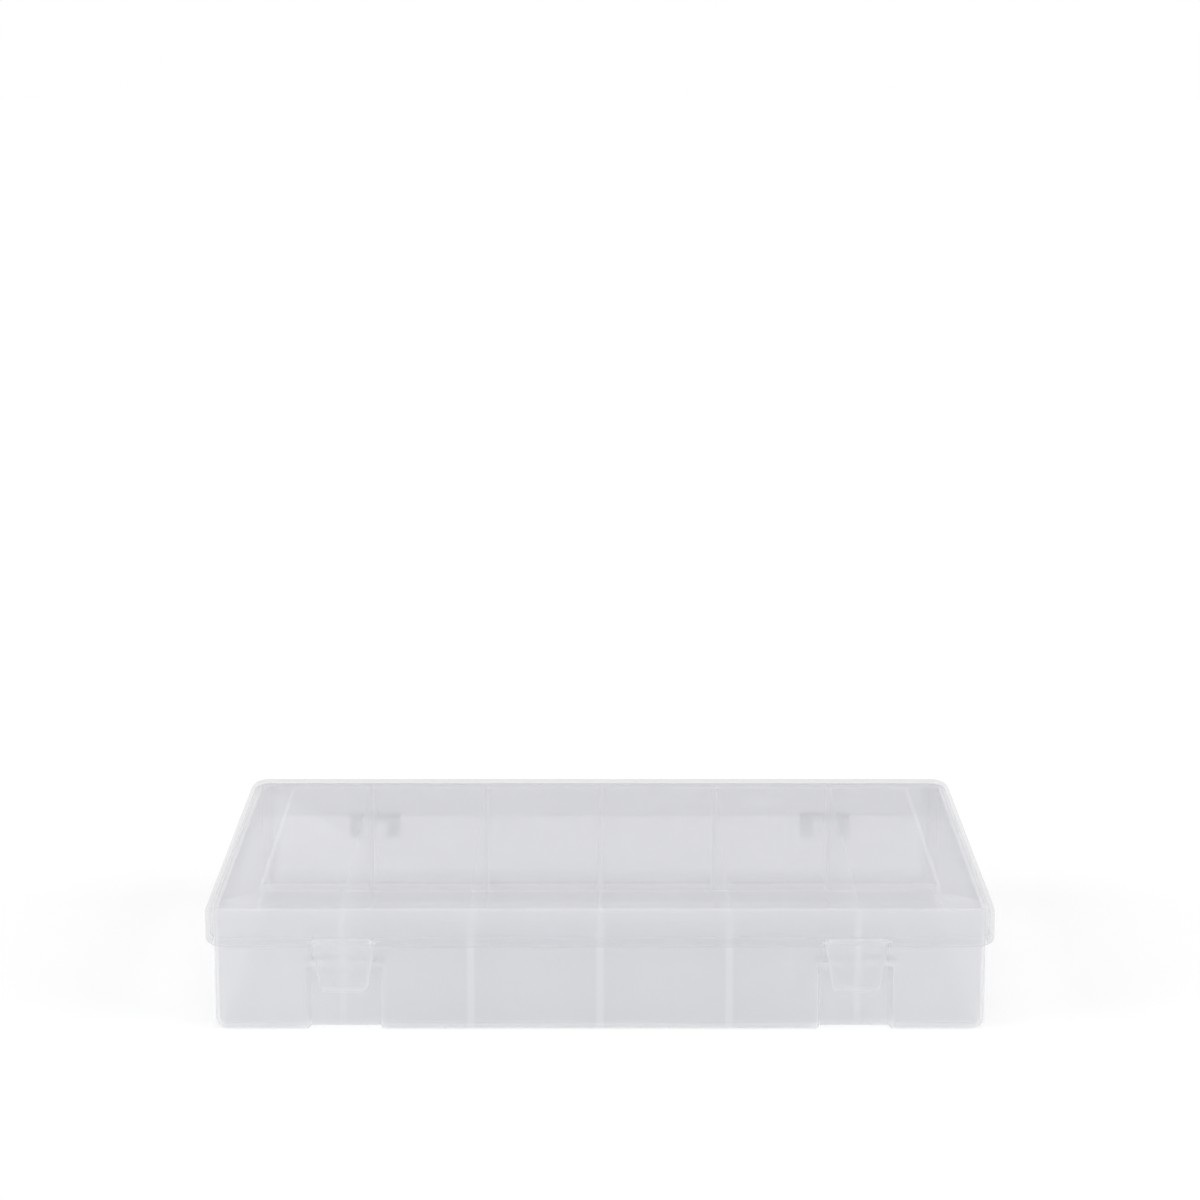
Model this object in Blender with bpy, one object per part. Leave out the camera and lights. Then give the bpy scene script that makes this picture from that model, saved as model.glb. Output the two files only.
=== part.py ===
"""Compartment storage box in frosted polypropylene: a shallow tray split by five upright dividers,
a lid with a deep skirt hinged along the back, and two swinging latches in the front of the skirt.

Metres, +Z up, front towards -Y. The origin is the middle of the tray's underside.
"""
import math

import bmesh
import bpy

# Lid, measured outside
LID_WIDTH = 0.3200
LID_DEPTH = 0.2080
BOX_HEIGHT = 0.0536  # table to the flat of the lid
LID_CORNER = 0.0090  # upright corners, in plan
LID_TOP_EDGE = 0.0048  # rounding between the top and the skirt
LID_WALL = 0.0018
SKIRT_HEIGHT = 0.0178  # top of the lid down to the bottom of its skirt

# Lip: the thick, round-edged foot of the skirt
LIP_THICKNESS = 0.00265
LIP_HEIGHT = 0.0041
LIP_CLEARANCE = 0.00085  # from the lip to the tray's wall, so that the lid can swing up past it

# Bead: the low raised line that frames the lid's top
BEAD_INSET = 0.0200
BEAD_WIDTH = 0.0020
BEAD_HEIGHT = 0.0005
BEAD_CORNER = 0.0015

# Tray
TRAY_WALL = 0.0016
TRAY_FLOOR = 0.0016
TRAY_BOTTOM_EDGE = 0.0042  # outside rounding between the walls and the floor
RIM_GAP = 0.0006  # from the tray's rim to the lid's underside
RIM_CHAMFER = 0.0004
LEAST_CORNER = 0.0003  # no plan corner gets sharper than this

# Dividers, and the slim upright ribs that hold their ends
DIVIDER_COUNT = 5
END_COMPARTMENT = 0.0501  # from the inside of an end wall to the middle of the nearest divider
DIVIDER_THICKNESS = 0.0014
DIVIDER_GAP = 0.0003  # all round a divider in its seat
DIVIDER_DROP = 0.0003  # from the rim down to a divider's top edge
DIVIDER_CORNER = 0.0020
RIB_WIDTH = 0.0009
RIB_DEPTH = 0.0016
RIB_DROP = 0.0020  # from the rim down to the ribs' tops

# Latches, which swing on stub pivots in notches of the skirt's lip
LATCH_INSET = 0.0564  # from the lid's end to the middle of the latch
LATCH_WIDTH = 0.0242
LATCH_LENGTH = 0.0205  # pivot axis down to the lower edge
LATCH_WALL = 0.0015
LATCH_TAPER = 0.0022  # each side, from the shoulders to the lower corners
LATCH_CORNER = 0.0035
LATCH_SHOULDER = 0.0009  # each side, where the latch narrows to its barrel
LATCH_FOOT = 0.0012  # finger edge along the bottom
LATCH_SIDE_GAP = 0.0008  # each side, in its notch
LATCH_TOP_GAP = 0.0005  # from the barrel to the skirt above it
PIVOT_RADIUS = 0.0006
PIVOT_LENGTH = 0.0015  # what each pivot reaches into the lip
PIVOT_CLEARANCE = 0.0002
CATCH_DROP = 0.0109  # pivot axis down to the underside of the tray's catch bar
CATCH_BAR = 0.0020  # height of the bar
HOOK_HEIGHT = 0.0020
HOOK_GAP = 0.0003  # from the hook's top to the bar
HOOK_CLEARANCE = 0.0008  # from the hook's tip to the front of the tray

# Recesses in the tray's front: a shallow channel behind each latch, and a deep finger pocket under it
CHANNEL_MARGIN = 0.0005  # each side, past the notch
CHANNEL_DEPTH = 0.0016
CHANNEL_HEADROOM = 0.0003  # above the lip
POCKET_STEP = 0.0019  # each side, past the channel
POCKET_DEPTH = 0.0076
POCKET_DRAFT = 0.0012  # each side, narrower at the back

# Hinges along the back: two ears on the tray, one knuckle on the lid and a pin in each
HINGE_INSET = 0.0564  # from the lid's end to the middle of the hinge
HINGE_SETBACK = 0.0010  # axis behind the lid's rear face
KNUCKLE_RADIUS = 0.0025
KNUCKLE_WIDTH = 0.0100
EAR_WIDTH = 0.0060
KNUCKLE_GAP = 0.0004
EAR_GUSSET = 0.0060  # how far the web under an ear runs down the wall
PIN_RADIUS = 0.0010
PIN_CLEARANCE = 0.0003
PIN_INSET = 0.0005  # from an ear's outer face to the pin's end

# Mesh steps
CORNER_STEPS = 7  # faces round an upright corner
EDGE_STEPS = 5  # faces round a long edge
ROUND_STEPS = 16  # sides of a small cylinder
OVERRUN = 0.0010  # how far a cutting shape runs past what it cuts
SMOOTH_ANGLE = math.radians(35)

# Worked out from the sizes above
OVERHANG = LIP_THICKNESS + LIP_CLEARANCE
TRAY_WIDTH = LID_WIDTH - 2 * OVERHANG
TRAY_DEPTH = LID_DEPTH - 2 * OVERHANG
TRAY_CORNER = LID_CORNER - OVERHANG
LIP_Z = BOX_HEIGHT - SKIRT_HEIGHT
SHELF_Z = LIP_Z + LIP_HEIGHT
RIM_Z = BOX_HEIGHT - LID_WALL - RIM_GAP
INSIDE_EDGE = max(TRAY_BOTTOM_EDGE - TRAY_WALL, LEAST_CORNER)
TRAY_FACE_Y = TRAY_DEPTH / 2
INSIDE_Y = TRAY_FACE_Y - TRAY_WALL
DIVIDER_REACH = TRAY_WIDTH / 2 - TRAY_WALL - END_COMPARTMENT
DIVIDER_PITCH = 2 * DIVIDER_REACH / (DIVIDER_COUNT - 1)

LATCH_X = LID_WIDTH / 2 - LATCH_INSET
HINGE_X = LID_WIDTH / 2 - HINGE_INSET
BARREL_RADIUS = LIP_THICKNESS / 2
LATCH_Y = BARREL_RADIUS - LID_DEPTH / 2
LATCH_Z = SHELF_Z - LATCH_TOP_GAP - BARREL_RADIUS
NOTCH_HALF = LATCH_WIDTH / 2 + LATCH_SIDE_GAP
CHANNEL_HALF = NOTCH_HALF + CHANNEL_MARGIN
POCKET_HALF = CHANNEL_HALF + POCKET_STEP
POCKET_TOP = LATCH_Z - CATCH_DROP
CHANNEL_LOW = POCKET_TOP + CATCH_BAR
CHANNEL_TOP = SHELF_Z + CHANNEL_HEADROOM
HOOK_TIP = BARREL_RADIUS + LIP_CLEARANCE - HOOK_CLEARANCE

# The hinge axis lies as high as the ears can go and still clear the lip's round edge.
HINGE_REACH = LIP_THICKNESS + KNUCKLE_RADIUS + KNUCKLE_GAP
HINGE_Y = LID_DEPTH / 2 + HINGE_SETBACK
HINGE_BACK = HINGE_SETBACK + LIP_THICKNESS
HINGE_Z = LIP_Z + LIP_THICKNESS - math.sqrt(HINGE_REACH**2 - HINGE_BACK**2)
EAR_OUT = KNUCKLE_WIDTH / 2 + KNUCKLE_GAP + EAR_WIDTH

SIDES = (-1, 1)
DIVIDER_PLACES = [i * DIVIDER_PITCH - DIVIDER_REACH for i in range(DIVIDER_COUNT)]


def arc(centre, radius, start, end, steps):
    """Points on a circle in a plane, from one angle to another, in degrees."""
    angles = [math.radians(start + (end - start) * i / steps) for i in range(steps + 1)]
    return [(centre[0] + radius * math.cos(a), centre[1] + radius * math.sin(a)) for a in angles]


def circle(centre, radius):
    return arc(centre, radius, 0, 360, ROUND_STEPS)[:-1]


def rounded_ring(width, depth, corner, inset, z):
    """A rounded rectangle at height z, drawn in by inset all round, seen as points from above."""
    radius = max(corner - inset, LEAST_CORNER)
    x = width / 2 - inset - radius
    y = depth / 2 - inset - radius
    points = []
    for turn, (side_x, side_y) in enumerate(((1, 1), (-1, 1), (-1, -1), (1, -1))):
        centre = (side_x * x, side_y * y)
        points += arc(centre, radius, 90 * turn, 90 * turn + 90, CORNER_STEPS)
    return [(px, py, z) for px, py in points]


def new_object(name, mesh_parts):
    """One object from lists of (points, faces), with its faces turned outwards."""
    mesh = bpy.data.meshes.new(name)
    bm = bmesh.new()
    for points, faces in mesh_parts:
        verts = [bm.verts.new(p) for p in points]
        for face in faces:
            bm.faces.new([verts[i] for i in face])
    bmesh.ops.recalc_face_normals(bm, faces=bm.faces)
    bm.to_mesh(mesh)
    bm.free()
    thing = bpy.data.objects.new(name, mesh)
    bpy.context.scene.collection.objects.link(thing)
    return thing


def loft(rings):
    """Faces from ring to ring, with the first and the last ring filled."""
    count = len(rings[0])
    points = [p for ring in rings for p in ring]
    faces = [list(range(count)), list(range(len(points) - count, len(points)))]
    for level in range(len(rings) - 1):
        low = level * count
        for i in range(count):
            j = (i + 1) % count
            faces.append([low + i, low + j, low + count + j, low + count + i])
    return points, faces


def prism(outline, axis, low, high):
    """A closed outline drawn in the plane square to an axis, and carried along it."""
    order = {"x": (2, 0, 1), "y": (0, 2, 1), "z": (0, 1, 2)}[axis]
    rings = []
    for level in (low, high):
        rings.append([tuple((a, b, level)[i] for i in order) for a, b in outline])
    return loft(rings)


def block(low, high):
    outline = [(low[0], low[1]), (high[0], low[1]), (high[0], high[1]), (low[0], high[1])]
    return prism(outline, "z", low[2], high[2])


def combine(body, operation, tool):
    """Joins, cuts or crosses a body with a tool object, and takes the tool away."""
    modifier = body.modifiers.new(operation.lower(), "BOOLEAN")
    modifier.operation = operation
    modifier.object = tool
    bpy.context.view_layer.update()
    depsgraph = bpy.context.evaluated_depsgraph_get()
    shape = bpy.data.meshes.new_from_object(body.evaluated_get(depsgraph))
    old = body.data
    body.modifiers.clear()
    body.data = shape
    shape.name = body.name
    bpy.data.objects.remove(tool)
    bpy.data.meshes.remove(old)


def plastic(name, colour, roughness, alpha):
    material = bpy.data.materials.new(name)
    material.use_nodes = True
    shader = material.node_tree.nodes["Principled BSDF"]
    shader.inputs["Base Color"].default_value = (*colour, 1)
    shader.inputs["Roughness"].default_value = roughness
    shader.inputs["Alpha"].default_value = alpha
    return material


def finish(thing, material, parent=None):
    """Gives a piece its material, smooth rounds and its place under a parent."""
    thing.data.materials.clear()
    thing.data.materials.append(material)
    thing.data.shade_smooth()
    thing.data.set_sharp_from_angle(angle=SMOOTH_ANGLE)
    if parent:
        thing.parent = parent
        thing.location = thing.location - parent.matrix_world.translation
    bpy.context.view_layer.update()
    return thing


def axis_empty(name, place, parent=None):
    """An empty on a joint's axis, which carries the pieces that turn about it."""
    empty = bpy.data.objects.new(name, None)
    bpy.context.scene.collection.objects.link(empty)
    empty.location = place
    if parent:
        empty.parent = parent
        empty.location = empty.location - parent.matrix_world.translation
    bpy.context.view_layer.update()
    return empty


def front_steps(offset, low, high):
    """The tray's inside face behind a latch, from low to high, moved into the tray by offset."""
    pocket = POCKET_DEPTH + TRAY_WALL - TRAY_FACE_Y + offset
    channel = CHANNEL_DEPTH + TRAY_WALL - TRAY_FACE_Y + offset
    wall = offset - INSIDE_Y
    ledge = CHANNEL_LOW + offset
    roof = CHANNEL_TOP + TRAY_WALL + offset
    return [(pocket, low), (pocket, ledge), (channel, ledge), (channel, roof), (wall, roof), (wall, high)]


def tray_blank():
    """The tray's outside as a solid block."""
    edge = arc((TRAY_BOTTOM_EDGE, TRAY_BOTTOM_EDGE), TRAY_BOTTOM_EDGE, 270, 180, EDGE_STEPS)
    profile = edge + [(0, RIM_Z - RIM_CHAMFER), (RIM_CHAMFER, RIM_Z)]
    rings = [rounded_ring(TRAY_WIDTH, TRAY_DEPTH, TRAY_CORNER, inset, z) for inset, z in profile]
    return new_object("base_tray", [loft(rings)])


def tray_hollow():
    """The space inside the tray, less what stands into it: recess backs and guide ribs."""
    low_edge = (TRAY_WALL + INSIDE_EDGE, TRAY_FLOOR + INSIDE_EDGE)
    profile = arc(low_edge, INSIDE_EDGE, 270, 180, EDGE_STEPS)
    profile += [(TRAY_WALL, RIM_Z - RIM_CHAMFER), (TRAY_WALL - RIM_CHAMFER, RIM_Z)]
    profile += [(TRAY_WALL - RIM_CHAMFER, RIM_Z + OVERRUN)]
    rings = [rounded_ring(TRAY_WIDTH, TRAY_DEPTH, TRAY_CORNER, inset, z) for inset, z in profile]
    hollow = new_object("hollow", [loft(rings)])

    backs = [pocket_shape(side, TRAY_WALL, 0, CHANNEL_LOW) for side in SIDES]
    combine(hollow, "DIFFERENCE", new_object("pocket_backs", backs))
    backs = [channel_shape(side, TRAY_WALL, 0, CHANNEL_TOP + TRAY_WALL) for side in SIDES]
    combine(hollow, "DIFFERENCE", new_object("channel_backs", backs))
    combine(hollow, "DIFFERENCE", new_object("guide_ribs", guide_ribs()))
    return hollow


def pocket_shape(side, grow, low, high):
    """A finger pocket's plan, grown by a wall on its sides and back."""
    front = POCKET_HALF + grow
    back = POCKET_HALF - POCKET_DRAFT + grow
    x = side * LATCH_X
    y = POCKET_DEPTH + grow - TRAY_FACE_Y
    out = -TRAY_FACE_Y - OVERRUN
    face = -TRAY_FACE_Y
    outline = [(x - front, out), (x + front, out), (x + front, face), (x + back, y), (x - back, y)]
    outline += [(x - front, face)]
    return prism(outline, "z", low, high)


def channel_shape(side, grow, low, high):
    half = CHANNEL_HALF + grow
    x = side * LATCH_X
    y = CHANNEL_DEPTH + grow - TRAY_FACE_Y
    return block((x - half, -TRAY_FACE_Y - OVERRUN, low), (x + half, y, high))


def behind_latch(place):
    """True for a divider whose seat meets the back of a latch's recess."""
    seat_half = DIVIDER_THICKNESS / 2 + DIVIDER_GAP + RIB_WIDTH
    return abs(abs(place) - LATCH_X) < POCKET_HALF + TRAY_WALL + seat_half


def guide_ribs():
    """Pairs of ribs on the front and rear walls, one pair to each end of a divider."""
    top = RIM_Z - RIB_DROP
    inside_wall = INSIDE_Y + TRAY_WALL / 2
    rib_face = INSIDE_Y - RIB_DEPTH
    slot_half = DIVIDER_THICKNESS / 2 + DIVIDER_GAP
    ribs = []
    for place in DIVIDER_PLACES:
        for side in SIDES:
            near = place + side * slot_half
            far = near + side * RIB_WIDTH
            low_x, high_x = min(near, far), max(near, far)
            rear = [(rib_face, 0), (inside_wall, 0), (inside_wall, top), (rib_face, top)]
            if behind_latch(place):
                face = front_steps(RIB_DEPTH, 0, top)
            else:
                face = [(-rib_face, 0), (-rib_face, top)]
            front = face + [(-inside_wall, top), (-inside_wall, 0)]
            ribs.append(prism(rear, "x", low_x, high_x))
            ribs.append(prism(front, "x", low_x, high_x))
    return ribs


def ear(low, high):
    """A hinge ear: a round eye on a web that runs down the tray's rear wall."""
    wall = TRAY_FACE_Y - TRAY_WALL / 2
    outline = [(wall, HINGE_Z)] + arc((HINGE_Y, HINGE_Z), KNUCKLE_RADIUS, 180, -60, ROUND_STEPS)
    outline += [(wall, HINGE_Z - KNUCKLE_RADIUS - EAR_GUSSET)]
    return prism(outline, "x", low, high)


def hinge_holes(radius):
    reach = EAR_OUT + OVERRUN
    places = [side * HINGE_X for side in SIDES]
    return [prism(circle((HINGE_Y, HINGE_Z), radius), "x", x - reach, x + reach) for x in places]


def make_tray(material):
    tray = tray_blank()
    combine(tray, "DIFFERENCE", tray_hollow())
    pockets = [pocket_shape(side, 0, -OVERRUN, POCKET_TOP) for side in SIDES]
    combine(tray, "DIFFERENCE", new_object("pockets", pockets))
    channels = [channel_shape(side, 0, CHANNEL_LOW, CHANNEL_TOP) for side in SIDES]
    combine(tray, "DIFFERENCE", new_object("channels", channels))
    ears = []
    for side in SIDES:
        for inner in (-EAR_OUT, EAR_OUT - EAR_WIDTH):
            low = side * HINGE_X + inner
            ears.append(ear(low, low + EAR_WIDTH))
    combine(tray, "UNION", new_object("ears", ears))
    combine(tray, "DIFFERENCE", new_object("pin_holes", hinge_holes(PIN_RADIUS + PIN_CLEARANCE)))
    return finish(tray, material)


def divider_outline(place):
    """A divider's side view: it fills the tray from wall to wall, clear of the rounded floor edge."""
    low = TRAY_FLOOR + DIVIDER_GAP
    high = RIM_Z - DIVIDER_DROP
    reach = INSIDE_Y - DIVIDER_GAP
    foot_y = reach - INSIDE_EDGE
    foot_z = low + INSIDE_EDGE
    head_y = reach - DIVIDER_CORNER
    head_z = high - DIVIDER_CORNER
    outline = arc((foot_y, foot_z), INSIDE_EDGE, 270, 360, EDGE_STEPS)
    outline += arc((head_y, head_z), DIVIDER_CORNER, 0, 90, EDGE_STEPS)
    outline += arc((-head_y, head_z), DIVIDER_CORNER, 90, 180, EDGE_STEPS)
    if behind_latch(place):
        steps = front_steps(DIVIDER_GAP, low, head_z)
        outline += steps[-2::-1]
    else:
        outline += arc((-foot_y, foot_z), INSIDE_EDGE, 180, 270, EDGE_STEPS)
    return outline


def make_dividers(material):
    for number, place in enumerate(DIVIDER_PLACES, start=1):
        half = DIVIDER_THICKNESS / 2
        plate = prism(divider_outline(place), "x", -half, half)
        divider = new_object(f"divider_{number}", [plate])
        divider.location.x = place
        finish(divider, material)


def lid_profile():
    """The lid's section from the middle of its top, over the edge, round the lip and back inside."""
    steps = 2 * EDGE_STEPS
    profile = []
    for i in range(steps + 1):
        share = i / steps
        inset = BEAD_INSET + BEAD_WIDTH * (1 - share)
        profile.append((inset, BOX_HEIGHT + BEAD_HEIGHT * math.sin(math.pi * share)))
    edge_z = BOX_HEIGHT - LID_TOP_EDGE
    profile += arc((LID_TOP_EDGE, edge_z), LID_TOP_EDGE, 90, 180, EDGE_STEPS)
    profile += arc((LIP_THICKNESS, LIP_Z + LIP_THICKNESS), LIP_THICKNESS, 180, 270, EDGE_STEPS)
    profile += [(LIP_THICKNESS, SHELF_Z), (LID_WALL, SHELF_Z)]
    inside = max(LID_TOP_EDGE - LID_WALL, LEAST_CORNER)
    inside_centre = (LID_WALL + inside, BOX_HEIGHT - LID_WALL - inside)
    profile += arc(inside_centre, inside, 180, 90, EDGE_STEPS)
    return profile


def lid_ring(inset, z):
    """A ring of the lid; inside the bead's outer foot the corners are the bead's own."""
    corner = LID_CORNER if inset < LID_CORNER - BEAD_CORNER else inset + BEAD_CORNER
    return rounded_ring(LID_WIDTH, LID_DEPTH, corner, inset, z)


def lid_knuckle(x):
    """A hinge knuckle: an eye on an arm that grows out of the rear lip."""
    inner = LID_DEPTH / 2 - LIP_THICKNESS * 3 / 4
    outer = LID_DEPTH / 2 - LIP_THICKNESS / 4
    top = LIP_Z + LIP_HEIGHT / 2
    outline = [(inner, top), (inner, HINGE_Z)]
    outline += arc((HINGE_Y, HINGE_Z), KNUCKLE_RADIUS, 180, 420, ROUND_STEPS)
    outline += [(outer, top)]
    return prism(outline, "x", x - KNUCKLE_WIDTH / 2, x + KNUCKLE_WIDTH / 2)


def latch_notches():
    """Gaps in the front lip, one for each latch."""
    notches = []
    for side in SIDES:
        x = side * LATCH_X
        low = (x - NOTCH_HALF, -LID_DEPTH / 2 - OVERRUN, LIP_Z - OVERRUN)
        high = (x + NOTCH_HALF, LIP_THICKNESS - LID_DEPTH / 2 + OVERRUN / 2, SHELF_Z)
        notches.append(block(low, high))
    return notches


def pivot_sockets():
    reach = NOTCH_HALF + PIVOT_LENGTH + PIVOT_CLEARANCE
    outline = circle((LATCH_Y, LATCH_Z), PIVOT_RADIUS + PIVOT_CLEARANCE)
    places = [side * LATCH_X for side in SIDES]
    return [prism(outline, "x", x - reach, x + reach) for x in places]


def make_lid(material, hinge):
    lid = new_object("lid", [loft([lid_ring(inset, z) for inset, z in lid_profile()])])
    knuckles = [lid_knuckle(side * HINGE_X) for side in SIDES]
    combine(lid, "UNION", new_object("knuckles", knuckles))
    combine(lid, "DIFFERENCE", new_object("notches", latch_notches()))
    combine(lid, "DIFFERENCE", new_object("sockets", pivot_sockets()))
    combine(lid, "DIFFERENCE", new_object("pin_holes", hinge_holes(PIN_RADIUS + PIN_CLEARANCE)))
    return finish(lid, material, hinge)


def latch_side_view():
    """A latch seen from its end, about its pivot: barrel, plate, hook behind and finger edge in front."""
    half = LATCH_WALL / 2
    tilt = math.degrees(math.asin(half / BARREL_RADIUS))
    hook = -CATCH_DROP - HOOK_GAP
    outline = arc((0, 0), BARREL_RADIUS, 270 - tilt, tilt - 90, ROUND_STEPS)
    outline += [(half, hook), (HOOK_TIP, hook), (half, hook - HOOK_HEIGHT), (half, -LATCH_LENGTH)]
    outline += [(-BARREL_RADIUS, -LATCH_LENGTH), (-BARREL_RADIUS, LATCH_FOOT - LATCH_LENGTH)]
    outline += [(-half, 2 * LATCH_FOOT - LATCH_LENGTH)]
    return outline


def latch_front_view():
    """A latch seen from the front: shoulders under the barrel, then drawn in to round corners."""
    wide = LATCH_WIDTH / 2
    narrow = wide - LATCH_TAPER - LATCH_CORNER
    low = LATCH_CORNER - LATCH_LENGTH
    right = [(wide - LATCH_SHOULDER, 2 * BARREL_RADIUS), (wide - LATCH_SHOULDER, -BARREL_RADIUS)]
    right += [(wide, -2 * BARREL_RADIUS)]
    right += arc((narrow, low), LATCH_CORNER, 0, -90, EDGE_STEPS)
    return right + [(-x, z) for x, z in reversed(right)]


def latch_mesh():
    half = LATCH_WIDTH / 2
    latch = new_object("latch", [prism(latch_side_view(), "x", -half, half)])
    reach = BARREL_RADIUS + OVERRUN
    combine(latch, "INTERSECT", new_object("outline", [prism(latch_front_view(), "y", -reach, reach)]))
    pivot = NOTCH_HALF + PIVOT_LENGTH
    combine(latch, "UNION", new_object("pivots", [prism(circle((0, 0), PIVOT_RADIUS), "x", -pivot, pivot)]))
    mesh = latch.data
    bpy.data.objects.remove(latch)
    return mesh


def make_latches(material, hinge):
    mesh = latch_mesh()
    for name, side in (("latch_left", -1), ("latch_right", 1)):
        place = (side * LATCH_X, LATCH_Y, LATCH_Z)
        axis = axis_empty(f"{name}_axis", place, hinge)
        latch = bpy.data.objects.new(name, mesh.copy())
        bpy.context.scene.collection.objects.link(latch)
        latch.location = place
        finish(latch, material, axis)


def make_pins(material):
    reach = EAR_OUT - PIN_INSET
    for name, side in (("hinge_pin_left", -1), ("hinge_pin_right", 1)):
        pin = new_object(name, [prism(circle((0, 0), PIN_RADIUS), "x", -reach, reach)])
        pin.location = (side * HINGE_X, HINGE_Y, HINGE_Z)
        finish(pin, material)


def build():
    for thing in list(bpy.data.objects):
        bpy.data.objects.remove(thing)
    tray_plastic = plastic("tray_polypropylene", (0.72, 0.74, 0.77), 0.42, 0.45)
    lid_plastic = plastic("lid_polypropylene", (0.72, 0.74, 0.77), 0.38, 0.45)
    latch_plastic = plastic("latch_polypropylene", (0.74, 0.76, 0.79), 0.34, 0.5)
    divider_plastic = plastic("divider_polypropylene", (0.74, 0.76, 0.79), 0.45, 0.5)
    nylon = plastic("pin_nylon", (0.84, 0.84, 0.82), 0.35, 1)

    make_tray(tray_plastic)
    make_dividers(divider_plastic)
    make_pins(nylon)
    hinge = axis_empty("lid_hinge_axis", (0, HINGE_Y, HINGE_Z))
    make_lid(lid_plastic, hinge)
    make_latches(latch_plastic, hinge)


build()
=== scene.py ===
"""Compartment storage box in frosted polypropylene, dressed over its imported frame.

Metres, +Z up, front towards -Y, as in the frame.
"""
import math

import bmesh
import bpy
import numpy as np
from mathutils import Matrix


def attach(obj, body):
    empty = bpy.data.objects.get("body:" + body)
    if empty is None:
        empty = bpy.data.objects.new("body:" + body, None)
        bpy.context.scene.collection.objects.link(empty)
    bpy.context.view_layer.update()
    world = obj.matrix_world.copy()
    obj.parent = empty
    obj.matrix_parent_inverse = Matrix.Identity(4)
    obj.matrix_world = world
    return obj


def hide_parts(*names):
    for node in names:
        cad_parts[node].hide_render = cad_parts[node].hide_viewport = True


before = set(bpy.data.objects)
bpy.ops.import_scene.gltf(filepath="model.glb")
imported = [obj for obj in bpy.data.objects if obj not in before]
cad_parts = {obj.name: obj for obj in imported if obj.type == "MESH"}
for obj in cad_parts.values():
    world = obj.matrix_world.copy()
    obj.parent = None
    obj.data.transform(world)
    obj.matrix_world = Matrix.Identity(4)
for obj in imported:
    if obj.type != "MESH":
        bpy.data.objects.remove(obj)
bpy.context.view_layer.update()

# Base tray
# The lower half of the box, moulded in one shot of frosted polypropylene. Its front wall steps back
# into two finger pockets with a shallow channel above each, and slim upright ribs inside hold the
# dividers. Two pairs of hinge ears stand on the rear wall.
TRAY_HALF = np.array([0.1565, 0.1005])
TRAY_CORNER = 0.0055
TRAY_WALL = 0.0016
TRAY_FLOOR = 0.0016
TRAY_EDGE = 0.0042  # rounding outside, between walls and floor
RIM_Z = 0.0512
LIP_Z = 0.0358  # the closed lid covers the wall above this height
RIM_EDGE = 0.0004
DIVIDER_PLACES = np.array([-0.1048, -0.0524, 0, 0.0524, 0.1048])
RIB_NEAR = 0.0010  # from a divider's middle to the near side of each rib
RIB_WIDTH = 0.0009
RIB_DEPTH = 0.0016
RIB_SLOPE = 0.00008
RIB_TOP = RIM_Z - 0.0020
LATCH_X = 0.1036
POCKET_HALF = 0.0153
POCKET_DRAFT = 0.0012
POCKET_DEPTH = 0.0076
POCKET_TOP = 0.027175
CHANNEL_HALF = 0.0134
CHANNEL_DEPTH = 0.0016
CHANNEL_LOW = 0.029175
CHANNEL_TOP = 0.0402
CHANNEL_SLOPE = 0.0002
HINGE_X = 0.1036
HINGE_Y = 0.1050
HINGE_Z = 0.034269
EYE_RADIUS = 0.0025
EYE_HOLE = 0.0013
EYE_STEPS = 28
EAR_INNER = 0.0054
EAR_OUTER = 0.0114
EAR_FOOT = 0.0060
EAR_ROOT = 0.0003  # how far an ear is rooted in the wall
EDGE_BREAK = 0.00015
STEP = 0.00001  # tells the two sides of a ledge apart
PLAIN_COLUMNS = 61  # over a whole front, beside those that follow its shape
SIDE_COLUMNS = 31
TRAY_CORNER_COLUMNS = 9
# Whiteness and density over the tray, as make_piece explains them
EYE_WHITENESS = 0.8
EYE_DENSITY = -0.8
SKIN_WHITENESS = 0.65  # of the outer skin, which carries the finer grain
SKIN_DENSITY = 0.15
FLOOR_PAINTED_LIGHT = 0.5  # painted light on the floor's upper side, against the shadow under the box
REAR_WALL_PAINTED_LIGHT = 0.65  # painted light on the rear wall, whiter so the shade on the ears behind it doesn't show
PAINTED_END_LIGHT_START = 0.060  # painted light: from the middle to where the front and rear begin to look lighter, as more light comes in at the ends
PAINTED_END_LIGHT_LENGTH = 0.080
END_CLEARNESS = 0.2  # taken off the density there
BEND_START = 0.4  # painted shade: share of a corner's turn where it begins to look darker
BEND_LENGTH = 0.6
BEND_DARKNESS = 0.45
SEAT_HALF = 0.0021  # from a divider's middle to where its seat no longer shows
SEAT_BLUR = 0.0012
SEAT_WHITENESS = 0.5
SEAT_PAINTED_LIGHT = 0.35  # painted light added in the recesses and behind the lid's skirt, where shade falls
SEAT_CLEARNESS = 0.6  # taken off the density behind the skirt, where the wall lies in shade
POCKET_SIDE_HALF = 0.0014
POCKET_SIDE_BLUR = 0.0009
POCKET_SIDE_PAINTED_LIGHT = 0.6  # painted light on the side towards the middle
POCKET_SIDE_CLEARNESS = 0.5  # taken off the density on the other side, against the shade in the recess
# Painted light on the pockets' backs, which lie in shade under the tabs
POCKET_BACK_PAINTED_LIGHT = 0.4
CHANNEL_SIDE_HALF = 0.0009
CHANNEL_SIDE_BLUR = 0.0006
CHANNEL_SIDE_WHITENESS = 0.2


def arc(centre, radius, start, end, steps):
    """Points at one distance from a centre, turned evenly from one angle to another, in degrees."""
    turn = np.radians(np.linspace(start, end, steps + 1))
    return np.column_stack([centre[0] + radius * np.cos(turn), centre[1] + radius * np.sin(turn)])


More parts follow.
